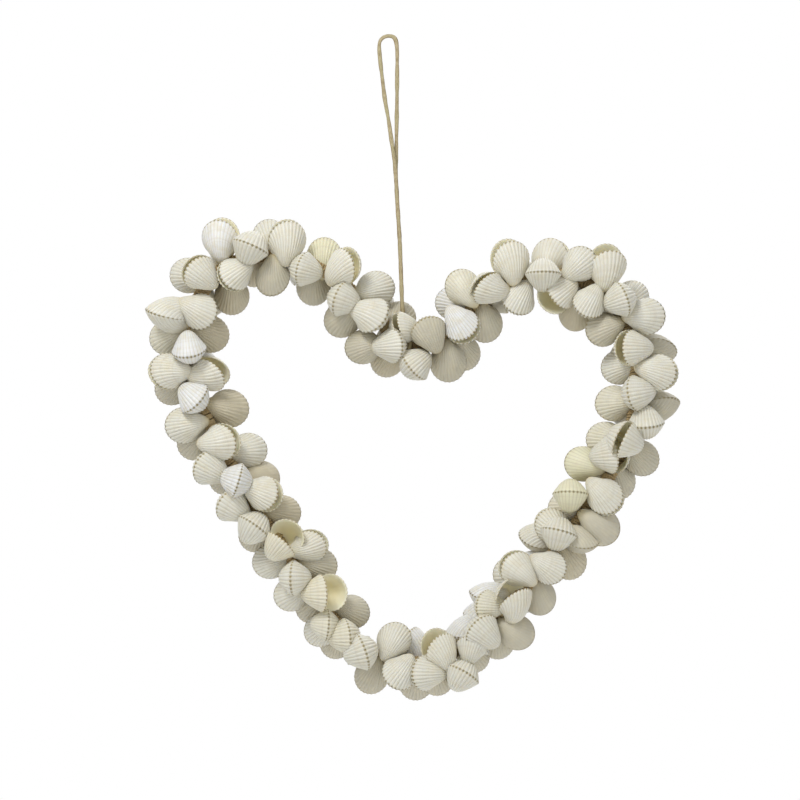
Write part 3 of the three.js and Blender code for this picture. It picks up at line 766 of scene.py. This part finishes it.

# %% [markdown]
# ## Where the cockles sit
# No rule says which way the maker turned each shell, so the front ones are given in a table.
# A row holds the middle of the shell (x and z), the way its mouth points, how far it tips to the
# viewer, its roll and its gape in degrees, its size, how far it sits back, and the letter of its
# tint. A capital letter means worn ribs. The hinge then goes on the ring by rule, the same one
# that the solids use. The back has evenly spaced shells that lean to either side in turn. The
# names are those of the bunches in the model.

# %% Bunches: numbers of the evenly spaced back shells, and rows for the front ones
# In the rows, the tint letters g and k paint shade on pairs that sit back and on pairs that face
# down.
BUNCHES = {
    "cleft_1": ([], [(7, -195, 219, 72, 0, 1, 1, 0, "w")]),
    "cleft_2": ([0, 44, 45], [(-3, -168, 60, 0, 0, 4, 0.95, 9, "g"),
        (-9, -191, 240, -10, 0, 4, 0.95, 4, "k")]),
    "right_lobe_1": ([], [(15.5, -175.5, 115, 45, 0, 5, 1, 0, "g"),
        (-23.5, -184, 195, 10, 0, 4, 0.95, 3, "g"), (0, -173, 130, 40, 60, 10, 0.85, 3, "w"),
        (-6.5, -183.5, 5, 58, 0, 3, 0.98, -2, "w")]),
    "right_lobe_2": ([1], [(27, -193, 275, -5, 0, 4, 1, 1, "g"),
        (36, -187, 300, -10, 0, 4, 0.95, 10, "g")]),
    "right_lobe_3": ([], [(35, -171.5, 305, 35, 0, 12, 0.98, 0, "b")]),
    "right_lobe_4": ([2], [(31, -158, 165, -5, 0, 4, 0.95, 7, "b"),
        (49, -169.5, 280, 0, 0, 4, 0.98, 4, "g"), (36, -149, 125, 15, 0, 6, 0.97, 0, "C"),
        (50.5, -149, 190, 40, -40, 8, 0.98, 0, "w"), (69, -156, 240, 40, 0, 6, 0.95, 0, "w")]),
    "right_lobe_5": ([3], []),
    "right_lobe_6": ([], [(64, -132.5, 93, 10, 15, 24, 1.05, 0, "w")]),
    "right_lobe_7": ([4], []),
    "right_lobe_8": ([], [(83.5, -141, 90, 85, 0, 1, 1, 0, "w"),
        (92, -153, 215, 45, 0, 26, 1, 0, "w"), (105.5, -135, 42, 25, 0, 4, 0.97, 0, "w"),
        (121.5, -136, 75, 20, 20, 26, 1.05, 0, "w"), (111, -158, 240, 40, 0, 4, 0.93, 0, "w")]),
    "right_lobe_9": ([5], [(89, -132, 85, -5, -20, 16, 1.08, 6, "W")]),
    "right_lobe_10": ([6], []),
    "right_lobe_11": ([], [(104, -163, 265, -5, 0, 4, 0.95, 5, "K")]),
    "right_lobe_12": ([7, 8], [(137, -155, 40, -5, 0, 4, 0.95, 7, "w")]),
    "right_lobe_13": ([], [(130, -156, 20, 76, 0, 1, 1, 0, "w"),
        (145, -166, 0, 20, 0, 4, 1, 0, "w")]),
    "right_side_1": ([], [(120, -173.5, 200, 20, 0, 6, 0.95, 2, "g")]),
    "right_side_2": ([], [(136, -185, 180, 50, 0, 14, 1, 0, "w")]),
    "right_side_3": ([9, 10], [(153, -186, 345, -10, 50, 4, 1, 6, "g"),
        (131, -196, 195, 0, 0, 4, 0.97, 5, "w")]),
    "right_side_4": ([], [(152.5, -199.5, 345, 25, 0, 8, 1, 0, "w"),
        (139, -212, 190, 62, 0, 2, 1, 0, "w"), (154.5, -219.5, 8, -5, 65, 4, 1, 5, "g"),
        (145, -230, 275, 78, 0, 1, 1.02, 0, "w"), (131.5, -239.5, 155, 74, 0, 10, 1.05, -3, "w")]),
    "right_side_5": ([11], [(127.5, -218, 185, 0, 0, 4, 0.98, 5, "c")]),
    "right_side_6": ([12], [(122.5, -240, 175, -5, 0, 4, 1, 6, "c"),
        (142.5, -250.5, 320, 5, 0, 4, 0.97, 4, "g")]),
    "right_side_7": ([13, 14], [(125, -248.5, 8, 62, 0, 16, 1.05, 2, "w"),
        (129, -264, 290, -5, 0, 4, 1, 6, "g"), (108.5, -254.5, 165, 10, 0, 3, 0.97, 4, "Y")]),
    "right_side_8": ([], [(120.5, -273.5, 315, 25, 0, 8, 1, 0, "w"),
        (117.5, -291.5, 325, 10, 0, 4, 1.05, 2, "G"), (107, -300, 345, 20, -60, 4, 0.85, 8, "g"),
        (93, -295.5, 76, 80, 0, 4, 1.03, 0, "w"), (90, -292, 135, 5, 0, 12, 0.95, 3, "w"),
        (99, -312, 300, -5, 0, 4, 1.02, 5, "k")]),
    "right_side_9": ([15], [(100, -272.5, 88, 80, 0, 1, 1, 0, "Y"),
        (99, -281, 190, -5, 0, 4, 0.95, 8, "c")]),
    "right_side_10": ([16, 17], [(81.5, -299, 165, -5, 55, 4, 0.97, 11, "w"),
        (81.5, -334, 290, 5, 0, 6, 0.95, 4, "G")]),
    "right_side_11": ([18], [(87.5, -316, 330, 30, 0, 6, 0.93, 0, "w"),
        (68.5, -317, 140, 25, 0, 10, 0.98, 0, "W"), (66.5, -321, 180, -5, 0, 6, 1, 8, "w")]),
    "right_side_12": ([19], [(65.5, -334.5, 68, 28, 48, 28, 1, 0, "w"),
        (51, -334, 165, 5, 75, 5, 0.95, 2, "b"), (67.5, -355, 330, 10, 0, 4, 0.97, 4, "G"),
        (50.5, -339, 175, 50, 0, 2, 0.88, 0, "c"), (57, -361, 275, -10, 0, 4, 0.95, 6, "g")]),
    "right_side_13": ([20, 21], [(48, -345, 178, -5, 65, 4, 0.95, 11, "b"),
        (37.5, -355, 190, 10, 70, 4, 0.95, 9, "b"), (42, -370, 300, -10, 0, 4, 0.92, 9, "g")]),
    "point_1": ([], [(47, -354, 138, 55, 0, 2, 1.05, -3, "w"),
        (41, -363.5, 75, 50, 0, 3, 0.85, 4, "w"), (35.5, -380, 60, 76, 0, 2, 1, 0, "w"),
        (21.5, -364.5, 105, 25, 25, 28, 0.97, 0, "w")]),
    "point_2": ([22], [(20, -382, 285, -5, 0, 4, 0.97, 2, "g"),
        (13.5, -379, 180, 48, 0, 1, 1, 0, "w"), (7, -364, 85, -5, 60, 5, 0.92, 6, "b"),
        (8, -385, 262, -5, 0, 4, 0.98, 9, "g"), (-2.5, -379, 232, 42, 0, 3, 0.97, 0, "w")]),
    "point_3": ([23], []),
    "point_4": ([], [(-5.5, -360, 60, 12, 0, 4, 0.95, 2, "w")]),
    "point_5": ([], [(-18.5, -381, 245, 5, 0, 4, 0.95, 3, "g")]),
    "point_6": ([], [(-24.5, -366, 18, 78, 0, 5, 1.05, -2, "w"),
        (-34.5, -357, 5, 74, 0, 4, 1, 2, "c")]),
    "point_7": ([24, 25], [(-40, -361, 250, -5, 0, 4, 0.92, 10, "g"),
        (-31, -343, 335, 5, 0, 4, 0.92, 5, "g"), (-46, -350.5, 355, 80, 0, 1, 0.88, 0, "c"),
        (-49, -354, 220, -5, 0, 4, 0.9, 3, "w")]),
    "left_side_1": ([26, 27], [(-54, -340, 225, -5, 0, 4, 0.92, 8, "g"),
        (-66.5, -332.5, 205, 5, 0, 4, 0.93, 4, "w"), (-51, -315, 345, 5, 0, 4, 0.95, 5, "g"),
        (-56, -303.5, 10, 15, 15, 14, 0.92, 0, "w")]),
    "left_side_2": ([], [(-46, -331, 2, 52, 0, 36, 1.03, 0, "c"),
        (-65, -322, 180, 81, 0, 1, 0.97, 0, "w")]),
    "left_side_3": ([28], [(-79, -313, 195, 5, 0, 4, 0.95, 4, "w")]),
    "left_side_4": ([29], [(-71, -299.5, 50, 54, 0, 38, 1, 0, "c"),
        (-88, -296, 240, -5, 0, 4, 0.97, 6, "g"), (-89, -292, 55, 80, 0, 1, 1.03, 0, "w"),
        (-73, -283.5, 350, 0, 0, 4, 0.95, 5, "k"), (-102.5, -279, 144, 52, 0, 2, 0.98, 0, "w")]),
    "left_side_5": ([31], [(-83, -272, 338, 32, 0, 15, 0.97, 0, "w"),
        (-86, -263, 350, -5, 0, 4, 0.97, 7, "K"), (-99, -264, 343, 82, 0, 1, 0.98, 0, "b"),
        (-116, -256.5, 150, 50, 0, 2, 1.02, 0, "w"), (-108.5, -241, 0, 30, 12, 13, 1, 0, "w")]),
    "left_side_6": ([30], []),
    "left_side_7": ([32], [(-106, -262, 230, -5, 0, 4, 0.95, 7, "g"),
        (-93.5, -246.5, 5, 0, 0, 4, 0.97, 4, "w")]),
    "left_side_8": ([33], [(-124.5, -241, 220, -5, 0, 6, 0.97, 5, "g"),
        (-105.5, -221, 348, 0, 0, 4, 1.05, 5, "k"), (-130.5, -231, 190, 15, 0, 5, 1, 2, "w")]),
    "left_side_9": ([34], [(-124.5, -215, 317, 68, 0, 3, 0.98, 0, "b"),
        (-138, -208, 215, -5, 0, 4, 0.97, 7, "g"), (-116, -200, 345, 18, 40, 18, 1, 2, "w"),
        (-140, -199, 172, 18, 15, 11, 1, 0, "w")]),
    "left_side_10": ([35], []),
    "left_side_11": ([], [(-127.5, -186, 278, 66, 0, 1, 0.97, 0, "B")]),
    "left_side_12": ([36], [(-141, -178, 205, -5, 0, 4, 0.97, 7, "c"),
        (-117, -176, 335, 0, 0, 4, 1.03, 5, "k"), (-141, -164.5, 170, 18, 78, 3, 1.08, 0, "w")]),
    "left_lobe_1": ([], [(-121.5, -163, 333, 28, 0, 5, 1, 0, "w")]),
    "left_lobe_2": ([37], []),
    "left_lobe_3": ([38], [(-129, -141, 170, -10, 0, 4, 0.97, 6, "w")]),
    "left_lobe_4": ([], [(-121.5, -140, 140, 45, 0, 8, 0.97, 0, "w")]),
    "left_lobe_5": ([39], [(-103, -153, 265, -10, 0, 4, 0.97, 6, "k"),
        (-101, -141, 215, 42, 0, 7, 0.95, 0, "w"), (-91, -125, 67, 84, 0, 1, 1.05, 0, "w")]),
    "left_lobe_6": ([], [(-109, -119.5, 97, 10, -15, 22, 1.03, 0, "B")]),
    "left_lobe_7": ([40], [(-90, -137, 270, -20, 0, 4, 0.92, 7, "k"),
        (-80, -119, 105, -5, 0, 4, 0.97, 6, "w"), (-78, -142.5, 262, 15, 15, 5, 0.97, 2, "g"),
        (-69.5, -121, 80, 12, 15, 10, 1.05, 0, "w")]),
    "left_lobe_8": ([41, 42], [(-47.5, -130, 85, 0, 0, 8, 0.97, 5, "y"),
        (-54, -147.5, 270, -10, 0, 4, 0.95, 6, "g")]),
    "left_lobe_9": ([], [(-59, -138, 165, 70, 0, 3, 0.97, 0, "w")]),
    "left_lobe_10": ([43], [(-35, -136.5, 62, 35, -35, 14, 1, 0, "w"),
        (-36.5, -155.5, 160, 70, 0, 1, 1, 0, "w"), (-17, -149.5, 15, 5, 0, 4, 1, 4, "w"),
        (-36, -167, 225, 0, 0, 4, 0.98, 5, "g"), (-18.5, -165.5, 352, 46, -22, 5, 1.05, 0, "w")]),
}


# %% Rules that put a hinge on the ring
TIP_RADIUS = 5
CLEARANCE = 11
LEVEL_TILT = 8
BACK_COUNT = 46
BACK_SIZE = 0.98
BACK_SWING = 16


def ring_distance(x, z):
    return float(np.hypot(ring_line[:, 0] - x, ring_line[:, 2] - z).min())


def front_cockle(x, z, aim, tilt, roll, gape, size, depth):
    """Hinge, axes, gape and size of a cockle whose middle shows at x, z."""
    a, t, r = (math.radians(v) for v in (aim, tilt, roll))
    out = Vector((math.cos(a), 0, math.sin(a)))
    viewer = Vector((0, -1, 0))
    forward = out * math.cos(t) + viewer * math.sin(t)
    flat = out * -math.sin(t) + viewer * math.cos(t)
    level = Vector((math.sin(a), 0, -math.cos(a)))
    across = level * math.cos(r) - flat * math.sin(r)
    normal = flat * math.cos(r) + level * math.sin(r)
    reach = HALF_LENGTH * SHELL_LENGTH * size
    hinge = Vector(from_table(x, z)) - forward * reach
    near = ring_distance(hinge.x, hinge.z)
    rise = 0 if abs(tilt) < LEVEL_TILT else math.sqrt(max(0, TIP_RADIUS ** 2 - near ** 2))
    hinge.y = (-rise if tilt > 0 else rise) + depth
    middle = hinge + forward * reach
    room = math.sqrt(max(0, CLEARANCE ** 2 - ring_distance(middle.x, middle.z) ** 2))
    if abs(middle.y) < room:
        hinge.y += (-room if middle.y < 0 else room) - middle.y
    return hinge, Matrix((across, forward, normal)).transposed(), gape, size


def back_cockle(k):
    """The same for back shell k: it stands on the ring, closed, and leans to one side."""
    along = ring_length * (k + 0.5) / BACK_COUNT
    i = int(np.searchsorted(ring_run, along, side="right")) - 1
    after = (i + 1) % len(ring_line)
    share = (along - ring_run[i]) / ring_steps[i]
    place = Vector(ring_line[i] * (1 - share) + ring_line[after] * share)
    way = Vector(ring_line[after] - ring_line[i]).normalized()
    side = Vector((way.z, 0, -way.x))
    lean = math.radians(-BACK_SWING if k % 2 == 0 else BACK_SWING)
    forward = Vector((0, math.cos(lean), 0)) + side * math.sin(lean)
    across = side * math.cos(lean) + Vector((0, -math.sin(lean), 0))
    axes = Matrix((across, forward, across.cross(forward))).transposed()
    return place + forward * TIP_RADIUS, axes, 0, BACK_SIZE


# %% [markdown]
# ## Valves on points
# Each bunch starts as a handful of points at the hinges, two for every cockle. The points carry
# the turn, the size, which valve to use and the tint. The tree puts a valve on each point, gives
# every valve a seeded shade of its own, makes the copies real and sets the finish. The result
# is one plain mesh for each bunch.

# %% Tree that sets valves on points
def valves_tree():
    tree = bpy.data.node_groups.new("Cockle valves on points", "GeometryNodeTree")
    add_socket(tree, "Points", "Geometry")
    add_socket(tree, "Valves", "Collection")
    add_socket(tree, "Overall size", "Float", value=1.0)
    add_socket(tree, "Seed", "Int", value=1)
    add_socket(tree, "Material", "Material")
    add_socket(tree, "Geometry", "Geometry", "OUTPUT")
    node = tree.nodes.new
    link = tree.links.new
    given = node("NodeGroupInput")
    result = node("NodeGroupOutput")

    def read(name, kind):
        one = node("GeometryNodeInputNamedAttribute")
        one.data_type = kind
        one.inputs["Name"].default_value = name
        return one.outputs["Attribute"]

    pick = node("FunctionNodeRandomValue")
    link(given.outputs["Seed"], pick.inputs["Seed"])
    keep = node("GeometryNodeStoreNamedAttribute")
    keep.data_type = "FLOAT"
    keep.domain = "POINT"
    keep.inputs["Name"].default_value = "shade"
    link(given.outputs["Points"], keep.inputs["Geometry"])
    link(pick.outputs[1], keep.inputs["Value"])

    shelf = node("GeometryNodeCollectionInfo")
    shelf.inputs["Separate Children"].default_value = True
    shelf.inputs["Reset Children"].default_value = True
    link(given.outputs["Valves"], shelf.inputs["Collection"])
    as_turn = node("FunctionNodeEulerToRotation")
    link(read("turn", "FLOAT_VECTOR"), as_turn.inputs[0])
    size = calc(tree, "MULTIPLY", read("size", "FLOAT"), given.outputs["Overall size"])
    place = node("GeometryNodeInstanceOnPoints")
    place.inputs["Pick Instance"].default_value = True
    link(keep.outputs["Geometry"], place.inputs["Points"])
    link(shelf.outputs["Instances"], place.inputs["Instance"])
    link(read("valve", "INT"), place.inputs["Instance Index"])
    link(as_turn.outputs[0], place.inputs["Rotation"])
    link(size, place.inputs["Scale"])
    real = node("GeometryNodeRealizeInstances")
    link(place.outputs["Instances"], real.inputs["Geometry"])
    finish = node("GeometryNodeSetMaterial")
    link(real.outputs["Geometry"], finish.inputs["Geometry"])
    link(given.outputs["Material"], finish.inputs["Material"])
    link(finish.outputs["Geometry"], result.inputs["Geometry"])
    return tree


# %% Points of one bunch
OPEN_GAPE = 6
SHUT_HALF_GAPE = 0.2
# The g here is the darker tint that paints shade.
BACK_TINTS = "wcwgwb"


def front_kind(row, i):
    if row[8].isupper():
        return "worn"
    return "crisp" if (int(row[0] * 2) + i) % 3 else "broad"


def bunch_points(name, back, rows):
    """Two points for each cockle, at its hinge: one for each of its valves."""
    cockles = []
    for i, row in enumerate(rows):
        tint = TINT_ORDER.index(row[8].lower())
        cockles.append((front_cockle(*row[:8]), front_kind(row, i), tint))
    for k in back:
        tint = TINT_ORDER.index(BACK_TINTS[k % len(BACK_TINTS)])
        cockles.append((back_cockle(k), "back", tint))
    places, turns, sizes, valves, tints = [], [], [], [], []
    for (hinge, axes, gape, size), kind, tint in cockles:
        half_gape = gape / 2 if gape > OPEN_GAPE else SHUT_HALF_GAPE
        for side in (1, -1):
            open_by = Matrix.Rotation(math.radians(side * half_gape), 3, "X")
            places.append(hinge / 1000)
            turns.append(tuple((axes @ open_by).to_euler()))
            sizes.append(size)
            valves.append(valve_index[kind, side])
            tints.append(tint)
    bunch = new_object(name, places, [])
    new_values = bunch.data.attributes.new
    new_values("turn", "FLOAT_VECTOR", "POINT").data.foreach_set("vector", np.array(turns).ravel())
    new_values("valve", "INT", "POINT").data.foreach_set("value", valves)
    point_values(bunch.data, "size", sizes)
    point_values(bunch.data, "tint", tints)
    return bunch


# %% Every bunch of the wreath
tree = valves_tree()
triangles = 0
for number, (name, (back, rows)) in enumerate(BUNCHES.items()):
    bunch = bunch_points(f"shells_{name}", back, rows)
    bake_nodes(bunch, tree, {"Valves": valve_shelf, "Seed": 100 + number, "Material": shell})
    triangles += sum(len(p.vertices) - 2 for p in bunch.data.polygons)
    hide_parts(f"cockles_{name}")
    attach(bunch, "root")
print("shell triangles", triangles)
for valve in list(valve_shelf.objects):
    bpy.data.objects.remove(valve)
bpy.data.collections.remove(valve_shelf)

# %% [markdown]
# ## Floor and light
# The wreath hangs in front of plain white. A round pale floor lies well below it, so it throws
# soft light back up without showing behind the wreath. A soft lamp above and to the left of the
# viewer shapes the shells, a weak one fills from the right and a third lights the back. The
# white world is dimmer for the shells than for the camera, or it would wash out the ribs.

# %% Floor
FLOOR_DROP = 0.60
FLOOR_RADIUS = 1.0
FLOOR_SIDES = 96
FLOOR_TONES = (0.86, 0.86, 0.85), (0.89, 0.89, 0.88)


def pale_floor():
    finish, tree, shader = new_material("pale floor", 0.9)
    tone = blend_colour(tree, between(tree, noise(tree, 3, 1), 0.3, 0.7), *FLOOR_TONES)
    tree.links.new(tone, shader.inputs["Base Color"])
    rings = [(r, -FLOOR_DROP) for r in (0.25, 0.6, FLOOR_RADIUS - 0.02)]
    rings += [(FLOOR_RADIUS, -FLOOR_DROP - 0.02), (FLOOR_RADIUS - 0.01, -FLOOR_DROP - 0.04)]
    points = [(r * math.cos(a), r * math.sin(a), z) for r, z in rings
              for a in np.arange(FLOOR_SIDES) * 2 * math.pi / FLOOR_SIDES]
    faces = [tuple(range(FLOOR_SIDES))]
    for i in range(len(rings) - 1):
        this, after = i * FLOOR_SIDES, (i + 1) * FLOOR_SIDES
        for j in range(FLOOR_SIDES):
            k = (j + 1) % FLOOR_SIDES
            faces.append((this + j, after + j, after + k, this + k))
    floor = new_object("floor", points, faces)
    floor.data.materials.append(finish)


pale_floor()

# %% Lamps: place, size in metres, power in watts
LAMP_AIM = Vector((0, 0, -0.22))
LAMPS = {
    "lamp above left": ((-0.55, -1.0, 0.9), 0.5, 12.8),
    "lamp right": ((1.3, -1.2, 0.1), 1.0, 2),
    "lamp behind": ((0.5, 1.2, 0.8), 1.0, 8),
}

for name, (place, size, power) in LAMPS.items():
    lamp = bpy.data.lights.new(name, "AREA")
    lamp.size = size
    lamp.energy = power
    holder = bpy.data.objects.new(name, lamp)
    bpy.context.collection.objects.link(holder)
    holder.location = place
    holder.rotation_euler = (LAMP_AIM - Vector(place)).to_track_quat("-Z", "Y").to_euler()
print("lamps", len(LAMPS))

# %% White world, dimmer for the shells than for the camera
SHELL_LIGHT = 0.58
CAMERA_LIGHT = 1.0

world = bpy.data.worlds.new("white room")
bpy.context.scene.world = world
bpy.context.scene.view_settings.view_transform = "Standard"
world.use_nodes = True
tree = world.node_tree
backing = tree.nodes["Background"]
backing.inputs["Color"].default_value = (1.0, 1.0, 1.0, 1)
ray = tree.nodes.new("ShaderNodeLightPath")
strength = between(tree, ray.outputs["Is Camera Ray"], 0, 1, SHELL_LIGHT, CAMERA_LIGHT)
tree.links.new(strength, backing.inputs["Strength"])
print("world", SHELL_LIGHT, "for the shells")
